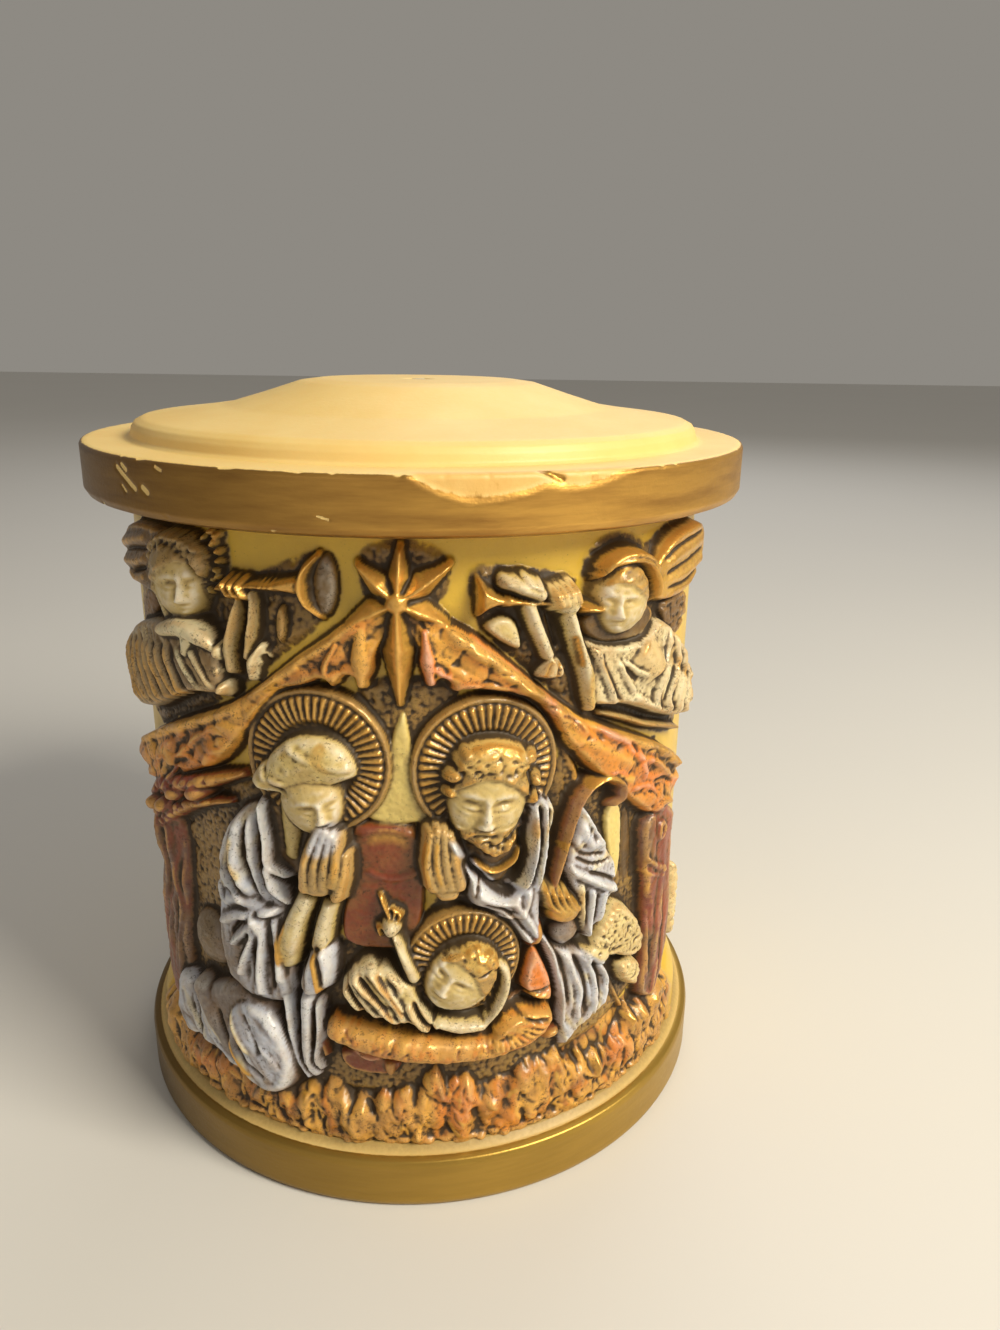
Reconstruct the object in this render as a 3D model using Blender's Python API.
"""Nativity candle: a pillar of wax cast with a nativity scene in relief, and its wick.

Metres, +Z up, origin at the middle of the foot. The scene faces -Y.
"""
import math

import bpy
import bmesh
import numpy as np

# Driving dimensions of the wax body, in metres
BASE_RADIUS = 0.0534
BASE_HEIGHT = 0.0089
BASE_EDGE = 0.0010
FILLET_RISE = 0.0011
WALL_RADIUS = 0.0480
WALL_HEIGHT = 0.0979
DISC_RADIUS = 0.0550
DISC_HEIGHT = 0.0083
DISC_LOWER_EDGE = 0.0014
DISC_UPPER_EDGE = 0.0006
RAISED_RADIUS = 0.0474
RAISED_STEP = 0.0030
RAISED_ROUND = 0.0018
BRIM_WIDTH = 0.0120
BRIM_RISE = 0.0014
PLATEAU_RADIUS = 0.0186
PLATEAU_RISE = 0.0045

# Driving dimensions of the wick and its bore, in metres
WICK_RADIUS = 0.0012
WICK_CLEARANCE = 0.0003
WICK_FLOOR = 0.0060

# The relief is drawn flat in millimetres: along the wall at the drawing radius, up from the foot,
# and out from the wall. The drawing wraps round the wall and stretches with its height.
MM = 0.001
DRAWING_RADIUS = 50.0
CROWN_RUN = 8.0
DRAWING_FOOT = 10.0
DRAWING_HEIGHT = 97.9
RELIEF_DEPTH = 1.0

# Grid of the relief: fine even steps across the scene, wide steps round the plain back. The plain
# rings above and below have one column for every few fine ones, and the thinning leaves them alone.
SCENE_HALF_WIDTH = 64.0
SCENE_SPANS = 30
FINE_PER_SPAN = 7
BACK_COLUMNS = 44
WALL_ROWS = 151
SOFTENING_PASSES = 1
KEPT_TRIANGLES = 11600

# Band of straw along the foot: depth, top edge and slope, then where the scene fades out round the wall,
# and the mounds, each as centre, spread and rise
STRAW_DEPTH = 2.6
STRAW_TOP = 16.0
STRAW_SLOPE = 3.0
SCENE_EDGE = 61.0
SCENE_FADE = 2.0
STRAW_WAVE = (2.2, 0.33)
STRAW_CLUMPS = ((0.4, 0.9, 0.3), (0.25, 1.5, -0.4))
STRAW_MOUNDS = ((14.0, 17.0, 3.6), (52.0, 9.0, 7.0))

# Low rough grounds behind the figures
BACKDROP_HEIGHT = 0.5
BACKDROP_BEVEL = 0.8

# Star: the widest place of a ray as a share of the way to its tip, and its widths at hub and tip
STAR_WAIST = 0.45
STAR_HUB_WIDTH = 1.0
STAR_TIP_WIDTH = 0.3

# Halo, as shares of its radius and in millimetres of height
HALO_BAND = 0.075
HALO_RING = 0.50
HALO_RING_EDGE = 0.84
HALO_DISH = 0.8
HALO_EDGE_RISE = 0.7
HALO_FLUTE_RISE = 0.45


class Relief:
    """Heights in mm over the bare wall, kept as arrays over arc length u and height v."""

    def __init__(self, arc, rise):
        self.u, self.v = np.meshgrid(arc, rise)
        self.w = np.zeros_like(self.u)

    def lift(self, height):
        """Keep the higher of what is there and the new form."""
        self.w = np.maximum(self.w, height)

    def dome(self, centre, half, crest, foot=0.0, turn=0.0):
        """An oval cap: foot + (crest - foot) * sqrt(1 - x^2/a^2 - y^2/b^2)."""
        c, s = math.cos(math.radians(turn)), math.sin(math.radians(turn))
        du, dv = self.u - centre[0], self.v - centre[1]
        x, y = (du * c + dv * s) / half[0], (dv * c - du * s) / half[1]
        inside = 1.0 - x * x - y * y
        rise = foot + (crest - foot) * np.sqrt(np.clip(inside, 0.0, 1.0))
        self.lift(np.where(inside > 0.0, rise, 0.0))

    def limb(self, points, widths, crests, foot=0.0):
        """A half-round bar along points, its half width and crest running evenly between them."""
        spread = np.linspace(0.0, 1.0, len(points))
        widths = np.interp(spread, np.linspace(0.0, 1.0, len(widths)), widths)
        crests = np.interp(spread, np.linspace(0.0, 1.0, len(crests)), crests)
        for i in range(len(points) - 1):
            (u0, v0), (u1, v1) = points[i], points[i + 1]
            du, dv = u1 - u0, v1 - v0
            t = np.clip(((self.u - u0) * du + (self.v - v0) * dv) / (du * du + dv * dv), 0.0, 1.0)
            away = np.hypot(self.u - u0 - t * du, self.v - v0 - t * dv)
            half = widths[i] + (widths[i + 1] - widths[i]) * t
            crest = crests[i] + (crests[i + 1] - crests[i]) * t
            inside = 1.0 - (away / half) ** 2
            rise = foot + (crest - foot) * np.sqrt(np.clip(inside, 0.0, 1.0))
            self.lift(np.where(inside > 0.0, rise, 0.0))

    def slab(self, outline, height, bevel, crown=0.0):
        """A flat form with a round bevel inside its outline, crowned by a little more inwards."""
        depth = inward(self.u, self.v, rounded(outline))
        edge = np.clip(depth / bevel, 0.0, 1.0)
        rise = height * np.sqrt(1.0 - (1.0 - edge) ** 2) + crown * np.clip(depth / CROWN_RUN, 0.0, 1.0)
        self.lift(np.where(depth > 0.0, rise, 0.0))

    def soften(self):
        """Average each height with its neighbours along the wall and up it, one to two to one."""
        w = np.pad(self.w, 1, mode="edge")
        w = 0.25 * w[:-2] + 0.5 * w[1:-1] + 0.25 * w[2:]
        self.w = 0.25 * w[:, :-2] + 0.5 * w[:, 1:-1] + 0.25 * w[:, 2:]

    def fold(self, points, half, height):
        """A soft ridge along points, or a furrow where the height is negative, added to what is there."""
        near = np.ones_like(self.u)
        for (u0, v0), (u1, v1) in zip(points, points[1:]):
            du, dv = u1 - u0, v1 - v0
            t = np.clip(((self.u - u0) * du + (self.v - v0) * dv) / (du * du + dv * dv), 0.0, 1.0)
            near = np.minimum(near, np.hypot(self.u - u0 - t * du, self.v - v0 - t * dv) / half)
        self.w = np.maximum(self.w + height * (1.0 - near * near) ** 2, 0.0)


def rounded(outline, passes=2):
    """Cut each corner of a closed outline at a quarter and three quarters, twice over."""
    points = np.array(outline, float)
    for _ in range(passes):
        ahead = np.roll(points, -1, axis=0)
        cut = np.stack([0.75 * points + 0.25 * ahead, 0.25 * points + 0.75 * ahead], axis=1)
        points = cut.reshape(-1, 2)
    return points


def inward(u, v, points):
    """Distance inside a closed outline: positive within it, negative outside."""
    nearest = np.full(u.shape, 1e9)
    within = np.zeros(u.shape, bool)
    for (u0, v0), (u1, v1) in zip(points, np.roll(points, -1, axis=0)):
        du, dv = u1 - u0, v1 - v0
        t = np.clip(((u - u0) * du + (v - v0) * dv) / (du * du + dv * dv + 1e-12), 0.0, 1.0)
        nearest = np.minimum(nearest, np.hypot(u - u0 - t * du, v - v0 - t * dv))
        crosses = (v0 > v) != (v1 > v)
        level = np.where(crosses, (v - v0) / np.where(v1 == v0, 1e-12, v1 - v0), 0.0)
        within ^= crosses & (u < u0 + level * du)
    return np.where(within, nearest, -nearest)


def ground(relief):
    """Band of straw and earth along the foot, low and plain behind, in ragged clumps in front."""
    u, v = relief.u, relief.v
    front = 1.0 / (1.0 + np.exp((np.abs(u) - SCENE_EDGE) / SCENE_FADE))
    swell, pace = STRAW_WAVE
    edge = STRAW_TOP + front * (swell + swell * np.sin(u * pace))
    for centre, spread, rise in STRAW_MOUNDS:
        edge = edge + front * rise * np.exp(-((u - centre) / spread) ** 2)
    body = STRAW_DEPTH + front * sum(size * np.sin(u * a + v * b) for size, a, b in STRAW_CLUMPS)
    relief.lift(body * np.clip((edge - v) / STRAW_SLOPE, 0.0, 1.0) ** 0.6)


def backdrop(relief):
    """Low rough grounds that fill the scene behind the figures."""
    for outline in ([(-54, 106.5), (-29, 106.6), (-26.6, 101.6), (-15, 103.6), (-8.4, 105), (-7.4, 99.6),
                     (-12, 93), (-20, 87.6), (-27, 82), (-40, 75), (-54, 70)],
                    [(-5.6, 103), (-4.6, 106), (0, 107.2), (5, 106.6), (8.6, 103.6), (4, 96), (-4, 97)],
                    [(9.4, 103), (10.6, 96), (14, 91.6), (22, 84.6), (28, 79.6), (36, 84), (27, 90),
                     (27, 101.4), (36, 106.6), (57, 107), (58, 92), (47, 87), (40, 95), (24, 102)],
                    [(-31, 68), (-24, 71), (-17, 52), (-10, 45), (3, 44.6), (5, 56), (22, 58), (30, 72),
                     (42, 64), (56, 58), (56, 20), (-56, 16), (-56, 62)]):
        relief.slab(outline, BACKDROP_HEIGHT, BACKDROP_BEVEL)


def stable_roof(relief):
    """Two thatched slopes that meet behind the star, planks under the ridge, a board and a wall panel."""
    relief.slab([(0, 100), (-6, 97), (-10, 93.5), (-14, 91), (-20, 86), (-26, 82), (-33, 79), (-40, 76),
                 (-48, 72), (-55, 69), (-56, 64), (-50, 62), (-42, 65), (-34, 68.5), (-27, 72), (-22, 78),
                 (-17, 85), (-12, 86.4), (-10, 87.6), (-2.6, 87.6), (-2, 92)], 3.1, 1.3, 0.9)
    relief.slab([(-1, 100), (2, 98.5), (9.5, 95.5), (15, 91), (20, 86.5), (27, 80.5), (33, 77.6), (41, 74),
                 (48, 70.6), (53, 67), (54, 62), (49, 58), (45, 58), (40, 61.5), (36, 65), (29, 71),
                 (24, 77), (20, 84), (10, 86.4), (3.4, 87.6), (2.6, 92)], 3.1, 1.3, 1.4)
    relief.limb([(31, 80), (42, 75.4), (55, 70.6)], [0.6, 0.7, 0.5], [2.3, 2.4], foot=0.8)
    relief.limb([(-4.4, 95.2), (-4.6, 91), (-4.6, 87.4)], [1.7, 2.2, 1.4], [3.7, 4.0, 3.2])
    relief.limb([(-7.8, 93), (-9.4, 89.6), (-8.8, 87)], [1.2, 1.5, 0.9], [3.8, 3.9, 3.2])
    relief.limb([(3.9, 95), (4.4, 91), (4.8, 87.6)], [1.3, 1.9, 1.2], [3.8, 4.1, 3.3])
    relief.limb([(6.4, 92.6), (7.4, 89), (8.2, 86.6)], [0.8, 1.1, 0.8], [3.9, 4.0, 3.4])
    for ridge in ([(7, 95), (14, 89.6), (20, 84.6)], [(24, 83), (33, 77), (43, 71.5), (52, 66)],
                  [(-7, 95), (-14, 89.6), (-20, 84.6)], [(-22, 83), (-32, 78), (-42, 73.6), (-52, 69)]):
        relief.fold(ridge, 1.3, 0.8)
    relief.slab([(1, 84.6), (-1.6, 78), (-2, 72.6), (-5.4, 68), (-4.6, 66), (0, 65.4), (4.4, 66),
                 (4.8, 67.6), (3.2, 72), (2.2, 78)], 1.3, 0.9, 0.2)
    relief.slab([(-7.4, 66), (-5, 66.3), (0.5, 66.3), (3.2, 65), (4, 56), (3, 47), (1, 45), (-9, 45),
                 (-9.4, 50), (-7.6, 56)], 1.7, 0.7, 0.3)


def posts(relief):
    """Rough posts at both ends of the stable, branches on the left one, wall panels on the right."""
    relief.slab([(41, 61), (42, 50), (43.5, 45), (44.5, 36), (43.5, 24), (50, 20), (54, 28), (55, 36),
                 (53.5, 47), (54, 59)], 2.9, 1.4, 0.5)
    relief.slab([(41.6, 51), (44, 49), (48, 45.6), (50.6, 46.4), (50, 49), (46, 51), (43, 53.6)], 3.7, 0.7)
    relief.slab([(33, 64.4), (37.4, 64.4), (38, 56), (37.6, 50), (35.8, 50), (34, 56)], 1.6, 0.5, 0.2)
    relief.slab([(38.2, 62), (40.4, 61), (41.4, 50), (40, 47.6), (38.4, 50)], 1.0, 0.5, 0.1)
    relief.slab([(-50, 63), (-40, 62), (-39, 50), (-41, 38), (-40, 25), (-48, 20), (-53, 26), (-51, 45)],
                2.6, 1.6, 0.6)
    relief.fold([(-44, 60), (-43, 48), (-45, 36)], 1.2, 0.6)
    relief.fold([(-48, 58), (-47, 44), (-48, 30)], 1.2, 0.6)
    relief.limb([(-24.4, 71), (-30, 69), (-36, 67), (-44, 64), (-50, 60)], [0.9, 1.7, 2.2, 2.4, 2.0],
                [2.6, 3.6, 3.9, 3.4, 2.8])
    relief.limb([(-27, 66), (-33, 64.4), (-39, 61.5), (-48, 55)], [0.8, 1.4, 1.8, 1.8],
                [2.4, 3.2, 3.4, 2.8])
    for knot in ((-33, 66.4), (-38.6, 64.6), (-42.6, 61), (-46.4, 60)):
        relief.dome(knot, (1.7, 1.3), 4.9, foot=3.4, turn=30)
    relief.dome((-34, 40), (4.6, 5.2), 3.4, turn=20)


def star(relief):
    """Six-rayed star with a ridge down each ray; the long one hangs in front of the roof."""
    hub = (0.4, 99.0)
    for tip, width, crest in (((0.8, 106.0), 1.3, 4.3), ((7.3, 103.7), 1.5, 4.4), ((7.0, 95.8), 1.5, 4.4),
                              ((0.5, 84.4), 2.2, 4.9), ((-6.3, 95.8), 1.5, 4.2), ((-4.8, 103.6), 1.4, 4.2)):
        middle = (hub[0] + STAR_WAIST * (tip[0] - hub[0]), hub[1] + STAR_WAIST * (tip[1] - hub[1]))
        relief.limb([hub, middle, tip], [STAR_HUB_WIDTH, width, STAR_TIP_WIDTH], [crest, crest, 2.9],
                    foot=2.0)
    relief.dome(hub, (1.5, 1.5), 4.9, foot=3.4)


def halo(relief, centre, radius, height):
    """Dished disc: a low band round the edge, and a plain ring as high as its flutes are on average."""
    away = np.hypot(relief.u - centre[0], relief.v - centre[1])
    band = HALO_BAND * radius
    rim = np.sqrt(np.clip(1.0 - ((radius - band - away) / band) ** 2, 0.0, 1.0))
    ring = (away > HALO_RING * radius) & (away < HALO_RING_EDGE * radius)
    rise = height - HALO_DISH + HALO_EDGE_RISE * rim + HALO_FLUTE_RISE * ring
    relief.lift(np.where(away < radius, rise, 0.0))


def kneeling_woman(relief):
    """Halo, veiled head bent to the child, gathered cloak, sleeves, skirt over a knee, joined hands."""
    halo(relief, (-11.8, 75.2), 11.4, 2.6)
    relief.slab([(-20.6, 67.6), (-19.6, 60), (-17, 56.6), (-14, 56), (-11, 62), (-10, 67), (-14, 69)], 2.2,
                1.2)
    relief.limb([(-15.4, 68), (-15.9, 60.4)], [2.2, 1.3], [3.4, 2.9], foot=1.6)
    relief.dome((-12.2, 69.8), (4.9, 5.8), 5.9, foot=1.8, turn=14)
    relief.slab([(-21.8, 71.2), (-21.6, 73.6), (-19.6, 75.6), (-17.6, 78), (-14.4, 80.2), (-10, 80.6),
                 (-6.4, 79.4), (-4.4, 76.6), (-4.6, 74.6), (-7, 73.4), (-10.4, 71.6), (-14, 70.6),
                 (-17, 70), (-20, 69.4)], 4.6, 3.0, 1.8)
    relief.slab([(-24.2, 67.2), (-27.8, 62.5), (-29.8, 56), (-29.8, 51), (-31, 45), (-30, 36), (-25, 33),
                 (-17, 33.5), (-15.4, 38), (-15.6, 46), (-15.6, 52.5), (-18.6, 57), (-19.6, 62),
                 (-20, 67.8)], 3.6, 2.2, 1.0)
    for points, half, height in (([(-23.8, 65), (-24.8, 60), (-24.2, 56.5), (-21.8, 53)], 1.5, 1.3),
                                 ([(-21.5, 66), (-21.9, 61), (-21.2, 56.6), (-19.6, 53)], 0.9, 0.9),
                                 ([(-27.4, 56.4), (-26.2, 53.8), (-23, 52)], 0.9, 0.9),
                                 ([(-27, 51.2), (-23.6, 51.8), (-19, 51.2)], 1.4, 1.0),
                                 ([(-28, 46.8), (-24.8, 48.9), (-20.8, 50.4)], 1.3, 1.5),
                                 ([(-26, 43.6), (-23, 47), (-20.5, 50.2)], 1.0, 1.4),
                                 ([(-24.6, 38.4), (-23.3, 43), (-20.2, 50)], 1.2, 1.5),
                                 ([(-21.2, 35.6), (-21, 41), (-19.8, 50)], 1.2, 1.6),
                                 ([(-18, 38.6), (-18, 44), (-18.5, 50)], 1.0, 1.3),
                                 ([(-22.7, 64), (-23, 59), (-21.2, 55)], 0.7, -0.9),
                                 ([(-20.5, 66), (-20.5, 59), (-18.8, 54.4), (-16.6, 52.4)], 0.7, -0.9)):
        relief.fold(points, half, height)
    relief.limb([(-20, 67.8), (-19.3, 62.6), (-19, 58.6), (-16.6, 57)], [0.8, 0.8, 0.9, 0.6],
                [5.2, 5.3, 4.6], foot=3.0)
    relief.limb([(-19.2, 58), (-18.2, 55), (-16.2, 52.8)], [0.9, 1.0, 0.6], [5.2, 5.4, 4.6], foot=3.2)
    relief.dome((-19.4, 51), (2.4, 1.3), 6.1, foot=3.4, turn=8)
    relief.slab([(-27, 36), (-37, 31.5), (-41, 28.5), (-44, 22), (-43, 19.2), (-36, 19), (-28, 17.7),
                 (-21, 17.4), (-17.5, 19.5), (-17, 25), (-18.5, 31), (-20, 35)], 3.6, 2.6, 0.8)
    relief.limb([(-40.6, 28.6), (-40.4, 24.6), (-40, 21.4)], [2.6, 3.2, 2.2], [4.4, 4.9, 4.2], foot=2.4)
    relief.limb([(-35.4, 30.4), (-32.4, 26.4), (-28, 21.4)], [2.2, 2.8, 2.4], [4.6, 5.1, 4.4], foot=3.0)
    relief.dome((-22.8, 25.2), (6.0, 8.4), 6.2, foot=3.2, turn=14)
    relief.fold([(-24.4, 33.2), (-20.6, 31.6), (-18.4, 28), (-17.4, 24), (-18.8, 20), (-21.6, 18.4)], 1.2,
                0.6)
    relief.fold([(-38, 30), (-36.6, 26), (-36.2, 20.6)], 0.8, -0.8)
    relief.fold([(-31, 29), (-29.2, 25), (-27.6, 20)], 0.8, -0.8)
    for points, half in (([(-17.6, 36), (-17.2, 30), (-16.2, 24), (-15.4, 20.6)], 1.1),
                         ([(-14.4, 36), (-14.7, 29), (-15.2, 24), (-14.2, 21.4)], 1.5),
                         ([(-12.6, 35.4), (-12.7, 30), (-13.6, 25), (-13.2, 22.6)], 1.0)):
        relief.limb(points, [half, half, 0.8 * half, 0.5 * half], [4.4, 4.2, 3.6, 2.4], foot=1.4)
    relief.limb([(-13.6, 53.6), (-15.2, 50), (-16.4, 46), (-17, 43)], [1.7, 1.9, 2.2, 1.9],
                [5.0, 5.4, 5.4, 4.6], foot=2.2)
    relief.limb([(-10.2, 53), (-11.2, 49.6), (-12, 46)], [1.4, 1.5, 1.6], [4.6, 4.5, 4.2], foot=1.8)
    relief.slab([(-16.2, 39.6), (-15.2, 43), (-13.4, 46.4), (-11, 47.4), (-9, 45.8), (-8.8, 41),
                 (-10.2, 37.6), (-13, 36.6), (-16, 36.8)], 5.0, 1.6, 0.8)
    relief.slab([(-14.2, 54), (-14.4, 58), (-13.4, 62), (-11.4, 65), (-9.6, 67.6), (-8.2, 66), (-6.6, 63),
                 (-6.2, 60), (-7.4, 56.6), (-9.6, 53.6)], 4.4, 1.6, 0.8)
    for k in range(4):
        relief.limb([(-13.4 + 1.5 * k, 55.2 + 0.4 * k), (-12.9 + 1.5 * k, 60.4),
                     (-10.6 + 0.75 * k, 66.2 - 0.5 * k)], [0.85, 0.85, 0.6], [5.8, 6.3, 5.2], foot=4.4)
    relief.limb([(-8.2, 54.6), (-7.3, 59), (-8.2, 63.8)], [0.8, 0.9, 0.6], [5.4, 5.8, 5.0], foot=3.6)


def kneeling_man(relief):
    """Halo, bearded head, a hand on the breast, crossed robe, wide sleeve, and a hand on the crook."""
    halo(relief, (12.6, 74.2), 11.3, 2.6)
    relief.slab([(7, 66), (10, 60), (14, 54.6), (17, 57), (18.4, 64), (17.6, 69)], 2.0, 1.2)
    relief.dome((12.6, 70.6), (6.0, 8.0), 6.0, foot=1.8, turn=-6)
    relief.slab([(7.4, 68), (8.2, 64.4), (10.2, 61.8), (13.8, 59.6), (16.8, 61.6), (18, 65), (18, 68),
                 (17, 65.8), (13, 64.4), (9.4, 65.8)], 4.3, 1.3, 1.0)
    relief.slab([(6.4, 74), (6.6, 77.6), (9, 80.4), (13, 81), (17, 80), (19.4, 77), (19.8, 72),
                 (18.8, 68.4), (18, 71), (17.6, 74), (14, 75.4), (10, 75), (7.8, 73.4)], 5.2, 2.2, 1.2)
    relief.dome((13.8, 77.2), (4.6, 2.8), 6.4, foot=3.6, turn=-8)
    for curl in ((6.8, 73.6), (6.8, 71.4), (19.0, 76.6), (19.6, 73.2), (18.8, 70.4)):
        relief.dome(curl, (1.1, 1.1), 5.6, foot=4.2)
    relief.limb([(10.8, 60.2), (13.4, 58.2), (16.4, 59.4), (17.4, 61)], [0.5, 0.6, 0.6, 0.4],
                [3.4, 3.6, 3.2], foot=2.0)
    relief.slab([(2.6, 65.4), (4.4, 66.6), (7.2, 66.8), (8.2, 64), (9.4, 58), (9.6, 54), (5, 53.4),
                 (3.4, 56.6), (2.6, 61)], 4.0, 1.5, 0.6)
    for k in range(4):
        relief.limb([(4.6 + 1.35 * k, 56.4), (3.7 + 1.35 * k, 60.8), (4.3 + 0.95 * k, 65.8)],
                    [0.8, 0.85, 0.6], [5.2, 5.7, 5.0], foot=4.0)
    relief.slab([(6.8, 64.4), (8.6, 62.6), (11, 59), (14.6, 54.8), (16, 54.4), (17.8, 58), (17.6, 62),
                 (17.2, 66), (18.6, 69), (19.8, 70.2), (22.8, 69), (23.2, 66), (22.2, 60), (21.4, 55),
                 (21.6, 47), (20, 44.4), (18, 44.6), (16, 49), (13, 51.4), (9.4, 53), (9, 57)], 3.8, 1.3,
                0.8)
    for points, half, height in (([(7.2, 64.6), (10.4, 60), (14, 55.4)], 0.7, 0.9),
                                 ([(9.6, 53.4), (13, 51.6), (16.6, 48.6), (19.4, 44.8)], 0.9, 0.9),
                                 ([(16.4, 53), (18.6, 49.6), (20.8, 45)], 0.8, 0.8),
                                 ([(19, 69), (19.4, 62), (18.4, 56.6), (15.6, 54.8)], 0.9, 1.2),
                                 ([(21.4, 69), (21.5, 62), (20.5, 55.6)], 1.3, 1.0),
                                 ([(20.1, 68.6), (20.2, 62), (19.2, 56)], 0.6, -0.8)):
        relief.fold(points, half, height)
    relief.slab([(27.9, 67.2), (25.4, 62), (24, 56.8), (25.6, 52), (26.8, 47), (28, 42.8), (30.2, 42.6),
                 (32.6, 46), (34.8, 49.4), (35.8, 51.6), (35.2, 55.6), (33.6, 57.4), (31, 62.4)], 3.5, 1.5,
                0.6)
    for points, half, height in (([(24.4, 56.8), (27.4, 55), (31, 52.4), (34.8, 50)], 1.1, 1.2),
                                 ([(27.4, 63), (29, 60), (31.6, 59)], 1.2, 0.6),
                                 ([(27.4, 53.4), (27.8, 48), (28.6, 44)], 0.9, 1.0),
                                 ([(29.6, 52), (29.2, 47), (29, 43)], 0.8, 1.0),
                                 ([(32, 51), (31.6, 48), (31.2, 45.4)], 0.8, 0.9)):
        relief.fold(points, half, height)
    relief.dome((25.9, 45.2), (2.7, 2.8), 3.3, foot=1.2)
    relief.slab([(20.4, 47), (22, 46), (24, 43.4), (28, 42.4), (31, 39.5), (34.5, 36.5), (35.8, 32),
                 (34.2, 27.6), (28, 25.4), (26.4, 22), (25, 24.4), (24.2, 29), (24, 34), (23, 39),
                 (21.4, 43)], 3.4, 1.8, 0.6)
    for points in ([(21.4, 46.6), (23, 41), (24.6, 34), (25, 28)],
                   [(24.8, 42.6), (26.6, 38), (28, 33), (27.4, 28)],
                   [(28, 41), (30.4, 36.6), (31, 31), (29.4, 27.6)], [(31.4, 38.4), (33.6, 34), (33, 29)]):
        relief.fold(points, 0.9, 0.9)
    relief.limb([(33.8, 64.6), (35, 66), (34.6, 68.2), (32, 69.7), (29, 69.2), (26.8, 67), (25.2, 62.6),
                 (24, 58), (22.8, 54.4)], [0.9, 1.3, 1.35, 1.3, 1.3, 1.35, 1.35, 1.3, 1.2],
                [4.2, 4.6, 4.9, 5.0, 5.0, 5.0, 5.0, 5.0, 5.2], foot=1.4)
    relief.dome((24.4, 50.2), (3.4, 2.6), 5.4, foot=2.6, turn=-40)
    for k in range(4):
        relief.limb([(20.9 + 1.15 * k, 54.4 - 0.5 * k), (21.9 + 1.2 * k, 51.6 - 0.35 * k),
                     (24.4 + 0.8 * k, 49.4 + 0.1 * k)], [0.75, 0.8, 0.6], [5.8, 6.4, 5.4], foot=3.4)


def child(relief):
    """Child in swaddling, lying on the manger, with a halo, one arm raised, one under the head."""
    halo(relief, (9.3, 43.4), 9.3, 3.4)
    relief.dome((8.6, 41.4), (5.1, 5.9), 6.3, foot=3.0, turn=-38)
    relief.dome((10.9, 44.4), (3.4, 3.0), 6.5, foot=3.6, turn=-30)
    relief.slab([(3.4, 41), (3.6, 44), (6, 46.8), (10, 48), (13.4, 46.6), (14.8, 43), (14.2, 39.4),
                 (13, 41), (12.6, 44), (9.6, 46), (6.6, 45.2), (5, 43)], 4.9, 1.3, 0.6)
    relief.limb([(13.2, 44.6), (15, 42), (15.1, 38.6), (13.8, 35.4), (12, 32.9)], [1.0, 1.2, 1.2, 1.2, 1.1],
                [4.8, 5.2, 5.3, 5.2, 4.8], foot=2.6)
    relief.limb([(5.4, 34), (8.4, 33.2), (11.6, 32.9)], [1.1, 1.4, 1.2], [5.2, 5.6, 5.2], foot=3.0)
    relief.limb([(1.9, 42), (0.6, 45.4), (-0.7, 48.8)], [1.5, 1.35, 1.0], [4.8, 5.0, 5.2], foot=1.8)
    relief.dome((-1.2, 50.4), (1.6, 1.8), 5.4, foot=2.4)
    relief.limb([(-1.2, 51.2), (-1.9, 53), (-2.7, 55)], [0.7, 0.6, 0.5], [5.4, 5.2, 4.8], foot=2.6)
    relief.limb([(-1.9, 50.6), (-3, 50), (-2.8, 48.6)], [0.6, 0.6, 0.5], [5.4, 5.2, 4.8], foot=2.6)
    relief.slab([(-9.8, 39.6), (-8.4, 42.4), (-6.6, 44.2), (-4.6, 45.2), (-2, 44.6), (0.6, 43.2), (3, 41.4),
                 (3.4, 39.4), (5, 37.2), (5.7, 35), (5.3, 31.9), (3.4, 31.8), (0.8, 33.2), (-1, 33.4),
                 (-3.8, 34.4), (-6.4, 35.2), (-8.6, 37)], 4.7, 2.0, 0.9)
    for points in ([(-7.2, 43), (-4.6, 40), (-2, 36.6), (0, 33.8)],
                   [(-4.6, 44.4), (-2.4, 41), (-0.4, 38), (0.4, 35)],
                   [(-8.6, 40.6), (-7, 38.6), (-5.8, 35.8)], [(1, 38.2), (2.2, 35.4), (4.4, 32.4)]):
        relief.fold(points, 0.8, 1.0)


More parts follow.
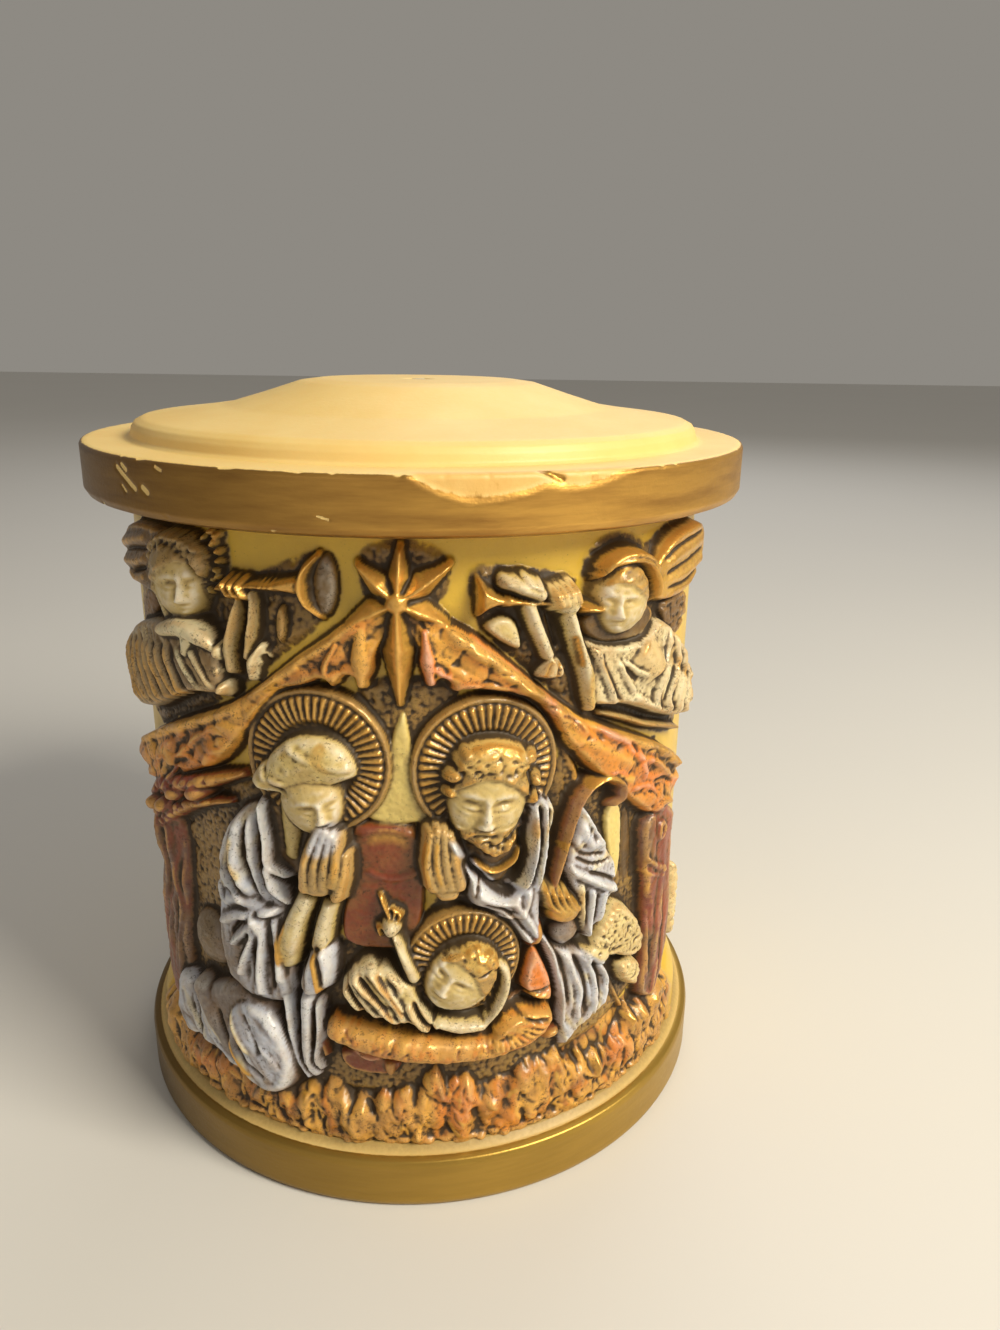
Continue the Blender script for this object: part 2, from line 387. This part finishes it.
def manger(relief):
    """Straw-filled manger: a thick rolled rim along the front, straw up at its right end, wood below."""
    relief.slab([(-10.6, 28), (-10, 22.8), (-4, 22), (-0.4, 22.6), (0.4, 26.6), (22, 26), (21, 24),
                 (3, 24.6)], 1.9, 0.8, 0.2)
    relief.slab([(-3.6, 26.6), (-3.4, 22.8), (-1, 22), (-0.2, 26)], 2.8, 0.7)
    relief.slab([(20.8, 26), (22.4, 28.6), (25.6, 28.8), (25.8, 26.6), (24, 25.4)], 3.4, 0.8)
    relief.limb([(-12.6, 28.8), (-12.2, 25.4)], [1.0, 0.9], [3.4, 3.0])
    relief.slab([(17.6, 37), (18, 40.6), (19.3, 44), (20.8, 44.4), (22.4, 41.4), (24, 37.4), (24.2, 33),
                 (20, 34)], 3.4, 0.9, 0.3)
    relief.slab([(-11.7, 32.8), (-10.6, 34.8), (-8, 34), (-5, 33.5), (-1, 33.2), (2, 32), (5, 31.2),
                 (9, 30.8), (12, 31.6), (13.6, 33.2), (16, 34.6), (20, 35), (24, 33.4), (24.3, 30.4),
                 (22.4, 28.2), (20, 26.4), (17, 25.9), (13.6, 25.9), (9, 26.5), (3, 26.7), (0, 27.3),
                 (-1.8, 26.7), (-4, 26.8), (-6, 27.4), (-7.6, 28.6), (-10, 28.7), (-11.6, 30.6)], 4.6, 1.7,
                0.5)
    relief.limb([(-9.6, 31.6), (-4.6, 30.6), (1, 29.6), (8, 28.8), (14, 29), (19.6, 30.6)],
                [1.6, 2.2, 2.3, 2.1, 2.4, 2.4], [5.4, 6.0, 6.3, 6.2, 6.1, 5.8], foot=3.6)


def sheep(relief):
    """Two woolly sheep by the right-hand post, and the flank of a third beyond it."""
    relief.slab([(28.8, 41), (31, 44.5), (34.5, 48), (38, 46.6), (41.4, 42.4), (43.4, 38), (42.4, 34.6),
                 (39, 34.4), (35, 36.8), (31, 38.2)], 3.8, 1.8, 0.5)
    relief.dome((31.4, 39.4), (2.9, 2.0), 4.8, foot=2.6, turn=-24)
    relief.slab([(36.6, 34.6), (40, 35), (43, 33.6), (44, 30), (42.6, 27), (40, 28.5), (37.6, 31)], 3.2,
                1.8, 0.3)
    relief.slab([(55, 46), (59, 44), (60.5, 38), (60, 30), (56.5, 28), (54.8, 36)], 2.6, 1.8, 0.3)


def left_angel(relief):
    """Angel over the left slope: head in curls, wing, pleated sleeves, and a trumpet towards the star."""
    relief.slab([(-34, 106), (-42, 106.4), (-50, 105.5), (-53.5, 101), (-52, 97), (-44, 95), (-36, 95)],
                2.6, 1.4, 0.4)
    for points in ([(-41, 104), (-46, 103), (-52, 101.6)], [(-41, 101), (-46, 99.6), (-51.6, 98.8)],
                   [(-42, 98), (-46, 97), (-50, 97)]):
        relief.fold(points, 1.2, 0.8)
    relief.slab([(-42, 97), (-47, 95), (-49, 91), (-46, 89), (-41, 92.6)], 1.8, 1.2, 0.2)
    relief.slab([(-38.6, 97), (-40.6, 101), (-39.6, 104.6), (-36, 106.6), (-31, 106.6), (-27, 105),
                 (-26.2, 101), (-28.4, 98.4), (-30, 102), (-36, 103)], 3.8, 1.6, 0.4)
    relief.dome((-33.6, 99.2), (5.2, 6.2), 5.5, foot=1.6, turn=10)
    relief.dome((-38.4, 96.2), (1.6, 2.8), 4.9, foot=3.0, turn=20)
    relief.slab([(-37.5, 93), (-32, 93.8), (-27.5, 91.8), (-25, 90.6), (-24.8, 84.4), (-27, 82.4),
                 (-31, 82.4), (-37, 79.6), (-43, 76.4), (-50, 75), (-54, 79), (-53, 86), (-48, 90.6),
                 (-42, 92.5)], 3.5, 1.8, 0.8)
    for points in ([(-37.6, 89.4), (-39.6, 85.4), (-37.4, 81.8)], [(-34.6, 88.4), (-36, 85), (-34.4, 82.4)],
                   [(-41.6, 88.6), (-43.6, 84), (-41.4, 79.6)], [(-46, 88), (-47.6, 83), (-45.4, 78.4)],
                   [(-50, 86), (-51, 82), (-49.4, 78)], [(-31.6, 88.6), (-31, 85.8), (-29, 83.6)]):
        relief.fold(points, 0.9, 0.7)
    relief.limb([(-36.6, 91.4), (-32, 92.6), (-28.4, 91.6), (-26.6, 90.4)], [1.2, 1.7, 1.3, 0.6],
                [5.0, 5.4, 5.0, 4.2], foot=3.4)
    relief.dome((-25.6, 90), (1.0, 1.5), 4.5, foot=2.6, turn=-15)
    relief.dome((-25.6, 84.4), (0.9, 1.2), 4.5, foot=2.6, turn=-15)
    relief.limb([(-24.4, 87.4), (-24.2, 91), (-23, 95), (-22.2, 98)], [1.3, 1.45, 1.3, 0.9],
                [3.2, 3.8, 4.0, 4.0], foot=0.8)
    relief.limb([(-21.6, 89.6), (-20.6, 93), (-20, 96), (-20, 99)], [0.9, 1.1, 1.0, 0.8],
                [3.0, 3.6, 3.8, 3.8], foot=0.8)
    relief.limb([(-21, 86.6), (-20.6, 89), (-19.4, 91.2)], [0.9, 1.3, 0.8], [2.8, 3.4, 2.8], foot=0.6)
    relief.slab([(-16.6, 90.8), (-17.8, 94), (-16.8, 97.6), (-15.2, 97.6), (-14.9, 94)], 1.9, 0.8, 0.2)
    relief.limb([(-26.6, 98.6), (-22, 99.6), (-17, 100.2), (-12.6, 100.6)], [0.6, 0.8, 1.0, 1.7],
                [3.8, 3.9, 3.8, 3.6], foot=0.8)
    relief.dome((-22.8, 99.2), (2.2, 1.0), 4.6, foot=3.0)
    relief.dome((-9.9, 100.6), (1.9, 4.2), 4.2, foot=1.6, turn=-3)


def right_angel(relief):
    """Angel over the right slope: head with swept hair, a wing behind, a wide sleeve and a trumpet."""
    relief.slab([(39, 99), (41.4, 102.6), (45, 105), (50, 105.8), (57, 106), (60.4, 103), (59, 98.5),
                 (52, 95.4), (46, 94), (40, 95)], 2.7, 1.3, 0.5)
    for points in ([(42, 102.4), (47, 104.4), (56, 104.8)], [(43, 100.4), (48, 101.8), (57, 102.6)],
                   [(43.4, 98), (49, 98.2), (57.6, 99.6)], [(44, 96.2), (50, 96.2), (55.6, 97.4)]):
        relief.fold(points, 1.2, 0.9)
    relief.slab([(43, 94.6), (48, 95), (54, 95.4), (55, 91), (51, 87.4), (47, 88)], 1.7, 1.0, 0.2)
    relief.slab([(25.4, 94.4), (29, 97), (38, 97), (42.4, 94), (40, 90.6), (34.6, 89.8), (28.6, 90.8)], 2.4,
                1.0)
    relief.dome((33.2, 97.2), (4.7, 5.5), 5.6, foot=1.8, turn=-8)
    relief.slab([(28.2, 99.2), (28.2, 102.4), (31, 104.6), (35, 105.2), (39, 103.8), (41.4, 100.6),
                 (41.8, 96.4), (40, 94), (38.4, 96.4), (38.2, 99.2), (36, 101), (32, 101.4), (30, 100.2)],
                4.7, 1.8, 1.4)
    relief.slab([(26.2, 92.6), (30, 91.2), (35, 90.4), (40, 91.6), (42.4, 93.6), (47, 90.4), (51, 86),
                 (55, 80), (56.4, 75), (52, 73), (44, 76), (38, 78.8), (34, 80.4), (28.6, 81), (27.4, 84),
                 (27, 88)], 3.4, 1.5, 0.7)
    relief.fold([(36.4, 89.4), (39, 87.4), (41, 84.6)], 3.4, 1.3)
    for points, half in (([(26.8, 92.2), (30.4, 90.6), (35, 90), (40, 91.2), (42, 93)], 0.9),
                         ([(28, 91), (30.4, 86), (32.4, 81)], 1.0),
                         ([(32.4, 88), (34.2, 85), (36, 82.6)], 0.8),
                         ([(44.6, 90.6), (42.4, 85), (41, 80.6), (42.6, 77.6)], 1.1),
                         ([(46.4, 89), (46.6, 84), (44.8, 80), (46.4, 76.4)], 1.0),
                         ([(48.4, 87.6), (49.6, 82), (48.6, 78), (49.6, 75.4)], 1.0),
                         ([(51, 84.4), (52.2, 80), (51.4, 76.6), (52.6, 74.4)], 0.9)):
        relief.fold(points, half, 1.1)
    relief.limb([(18, 98), (19.4, 94.6), (21.4, 90.4)], [1.5, 1.4, 1.2], [3.8, 3.6, 3.0], foot=0.8)
    relief.limb([(23.6, 97.6), (25.6, 92), (27.4, 87), (28.6, 81.6)], [1.5, 1.4, 1.6, 1.2],
                [4.0, 4.0, 4.0, 3.2], foot=0.8)
    relief.limb([(11.2, 99.4), (14, 99), (17, 98.6), (23, 97.6), (29.6, 96.4)], [3.1, 1.9, 1.1, 0.7, 0.6],
                [3.4, 3.6, 3.8, 3.6, 3.9], foot=1.0)
    relief.limb([(10.7, 102.6), (12.2, 100.6), (16.6, 98.9)], [0.6, 0.8, 0.6], [3.8, 4.4, 4.0], foot=2.4)
    relief.limb([(14.8, 101.2), (16.8, 100.6), (19.4, 99.4)], [1.0, 1.4, 1.3], [4.2, 4.9, 4.6], foot=2.0)
    relief.dome((23.2, 98.4), (2.6, 2.0), 5.0, foot=2.6, turn=-30)
    relief.slab([(11.4, 95.2), (13.8, 97), (16.8, 96.2), (18, 92), (17.2, 90.8), (13.4, 93)], 2.2, 1.0, 0.3)
    relief.slab([(19, 87.2), (20.2, 89.6), (21.4, 91), (24, 89.8), (24.6, 87), (22.6, 86), (20, 86.6)], 3.2,
                1.0, 0.2)


def carve(relief):
    """Lay every figure into the relief, from the ground up."""
    for figure in (ground, backdrop, stable_roof, posts, left_angel, right_angel, star, sheep,
                   kneeling_woman, kneeling_man, manger, child):
        figure(relief)
    for _ in range(SOFTENING_PASSES):
        relief.soften()


def columns():
    """Angles round the candle as arc lengths on the drawing: even over the scene, wider behind it."""
    scene = np.linspace(-SCENE_HALF_WIDTH, SCENE_HALF_WIDTH, SCENE_SPANS * FINE_PER_SPAN + 1)
    far_side = 2.0 * math.pi * DRAWING_RADIUS - SCENE_HALF_WIDTH
    back = np.linspace(SCENE_HALF_WIDTH, far_side, BACK_COLUMNS + 2)[1:-1]
    return np.concatenate([scene, back])


def plain_columns():
    """Which of those columns the plain rings have: the ends of the scene's spans, and all behind it."""
    spans = np.arange(0, SCENE_SPANS * FINE_PER_SPAN + 1, FINE_PER_SPAN)
    return np.concatenate([spans, spans[-1] + 1 + np.arange(BACK_COLUMNS)])


def profile():
    """Radius and height of the plain rings below and above the wall, and the heights of the wall's ends."""
    wall_foot = BASE_HEIGHT + FILLET_RISE
    wall_top = wall_foot + WALL_HEIGHT
    disc_top = wall_top + DISC_HEIGHT
    raised_top = disc_top + RAISED_STEP
    brim_top = raised_top + BRIM_RISE
    plateau = brim_top + PLATEAU_RISE
    bore = WICK_RADIUS + WICK_CLEARANCE
    bend = 1.0 - math.sqrt(0.5)
    below = [(BASE_RADIUS - BASE_EDGE, 0.0),
             (BASE_RADIUS - BASE_EDGE * bend, BASE_EDGE * bend),
             (BASE_RADIUS, BASE_EDGE),
             (BASE_RADIUS, BASE_HEIGHT - BASE_EDGE),
             (BASE_RADIUS - BASE_EDGE * bend, BASE_HEIGHT - BASE_EDGE * bend),
             (BASE_RADIUS - BASE_EDGE, BASE_HEIGHT)]
    above = [(DISC_RADIUS - DISC_LOWER_EDGE, wall_top),
             (DISC_RADIUS - DISC_LOWER_EDGE * bend, wall_top + DISC_LOWER_EDGE * bend),
             (DISC_RADIUS, wall_top + DISC_LOWER_EDGE),
             (DISC_RADIUS, disc_top - DISC_UPPER_EDGE),
             (DISC_RADIUS - DISC_UPPER_EDGE, disc_top),
             (RAISED_RADIUS, disc_top),
             (RAISED_RADIUS - 0.5 * RAISED_ROUND * bend, raised_top - 0.5 * RAISED_STEP),
             (RAISED_RADIUS - RAISED_ROUND, raised_top),
             (RAISED_RADIUS - RAISED_ROUND - BRIM_WIDTH, brim_top),
             (PLATEAU_RADIUS, plateau),
             (bore, plateau),
             (bore, WICK_FLOOR)]
    return below, above, wall_foot, wall_top


def wall_rings(wall_foot, wall_top):
    """Angle of each column, and radius and height of the carved wall, as rows over the columns."""
    arc = columns()
    rise = np.linspace(DRAWING_FOOT, DRAWING_FOOT + DRAWING_HEIGHT, WALL_ROWS)
    full_turn = 2.0 * math.pi * DRAWING_RADIUS
    relief = Relief(np.where(arc > math.pi * DRAWING_RADIUS, arc - full_turn, arc), rise)
    carve(relief)
    radius = WALL_RADIUS + RELIEF_DEPTH * relief.w * MM
    height = wall_foot + (relief.v - DRAWING_FOOT) * (wall_top - wall_foot) / DRAWING_HEIGHT
    return arc / DRAWING_RADIUS, radius, height


def material(name, colour, roughness):
    """Principled material of one plain colour."""
    made = bpy.data.materials.new(name)
    made.use_nodes = True
    shader = made.node_tree.nodes["Principled BSDF"]
    shader.inputs["Base Color"].default_value = (*colour, 1.0)
    shader.inputs["Roughness"].default_value = roughness
    shader.inputs["Metallic"].default_value = 0.0
    return made


def add_object(name, mesh, finish):
    """Link a mesh to the scene under its node's name, shaded smooth up to a fair angle."""
    mesh.materials.append(finish)
    mesh.shade_smooth()
    mesh.set_sharp_from_angle(angle=math.radians(50.0))
    made = bpy.data.objects.new(name, mesh)
    bpy.context.scene.collection.objects.link(made)
    return made


def ring_points(angle, radius, height):
    """Corners of rings about the axis."""
    corners = np.broadcast_arrays(radius * np.sin(angle), -radius * np.cos(angle), height)
    return np.stack(corners, axis=-1).reshape(-1, 3)


def bands(first, rings, count):
    """Quads between rings of one count of columns."""
    k = np.arange(count)
    ahead = (k + 1) % count
    faces = []
    for ring in range(rings - 1):
        low, high = first + ring * count, first + (ring + 1) * count
        faces += np.stack([low + k, low + ahead, high + ahead, high + k], axis=1).tolist()
    return faces


def seam(plain, fine, picked, count, upward):
    """Triangles between a plain ring and a fine one, fanned from both ends of each plain span.

    plain and fine are the numbers of their first corners, and upward is true where the fine ring is above.
    """
    faces = []
    for k, start in enumerate(picked.tolist()):
        ahead = (k + 1) % len(picked)
        steps = (int(picked[ahead]) - start) % count
        edge = [fine + (start + j) % count for j in range(steps + 1)]
        middle = (steps + 1) // 2
        fans = [[plain + k, plain + ahead, edge[middle]]]
        fans += [[plain + k, edge[j + 1], edge[j]] for j in range(middle)]
        fans += [[plain + ahead, edge[j + 1], edge[j]] for j in range(middle, steps)]
        faces += fans if upward else [fan[::-1] for fan in fans]
    return faces


def candle():
    """The casting: rings round the axis from the foot, up the relief and over the top into the bore."""
    below, above, wall_foot, wall_top = profile()
    angle, radius, height = wall_rings(wall_foot, wall_top)
    picked = plain_columns()
    rings, count = radius.shape
    plain = len(picked)
    wall_start = len(below) * plain
    above_start = wall_start + rings * count
    foot_centre = above_start + len(above) * plain
    floor_centre = foot_centre + 1
    plain_below = [ring_points(angle[picked], *ring) for ring in below]
    plain_above = [ring_points(angle[picked], *ring) for ring in above]
    centres = [[0.0, 0.0, 0.0], [0.0, 0.0, WICK_FLOOR]]
    points = np.vstack(plain_below + [ring_points(angle, radius, height)] + plain_above + centres)
    last = foot_centre - plain
    faces = bands(0, len(below), plain) + seam(wall_start - plain, wall_start, picked, count, True)
    faces += bands(wall_start, rings, count) + seam(above_start, above_start - count, picked, count, False)
    faces += bands(above_start, len(above), plain)
    for k in range(plain):
        ahead = (k + 1) % plain
        faces += [[foot_centre, ahead, k], [floor_centre, last + k, last + ahead]]
    mesh = bpy.data.meshes.new("candle")
    mesh.from_pydata(points.tolist(), [], faces)
    made = add_object("candle", mesh, material("relief_wax", (0.72, 0.52, 0.22), 0.45))
    carved = made.vertex_groups.new(name="carved")
    carved.add(list(range(wall_start, above_start)), 1.0, "REPLACE")
    thinned = made.modifiers.new("fewer_faces", "DECIMATE")
    thinned.vertex_group = carved.name
    thinned.ratio = KEPT_TRIANGLES / sum(len(face) - 2 for face in faces)
    thinned.use_collapse_triangulate = True
    return made


def wick():
    """Braided cotton wick, trimmed level with the plateau, standing on the floor of its bore."""
    foot = WICK_FLOOR + WICK_CLEARANCE
    plateau = BASE_HEIGHT + FILLET_RISE + WALL_HEIGHT + DISC_HEIGHT + RAISED_STEP + BRIM_RISE + PLATEAU_RISE
    form = bmesh.new()
    bmesh.ops.create_cone(form, cap_ends=True, cap_tris=False, segments=16, radius1=WICK_RADIUS,
                          radius2=WICK_RADIUS, depth=plateau - foot)
    bmesh.ops.translate(form, verts=form.verts, vec=(0.0, 0.0, 0.5 * (plateau + foot)))
    mesh = bpy.data.meshes.new("wick")
    form.to_mesh(mesh)
    form.free()
    return add_object("wick", mesh, material("wick_cotton", (0.80, 0.76, 0.66), 0.9))


for old in list(bpy.data.objects):
    bpy.data.objects.remove(old, do_unlink=True)
candle()
wick()
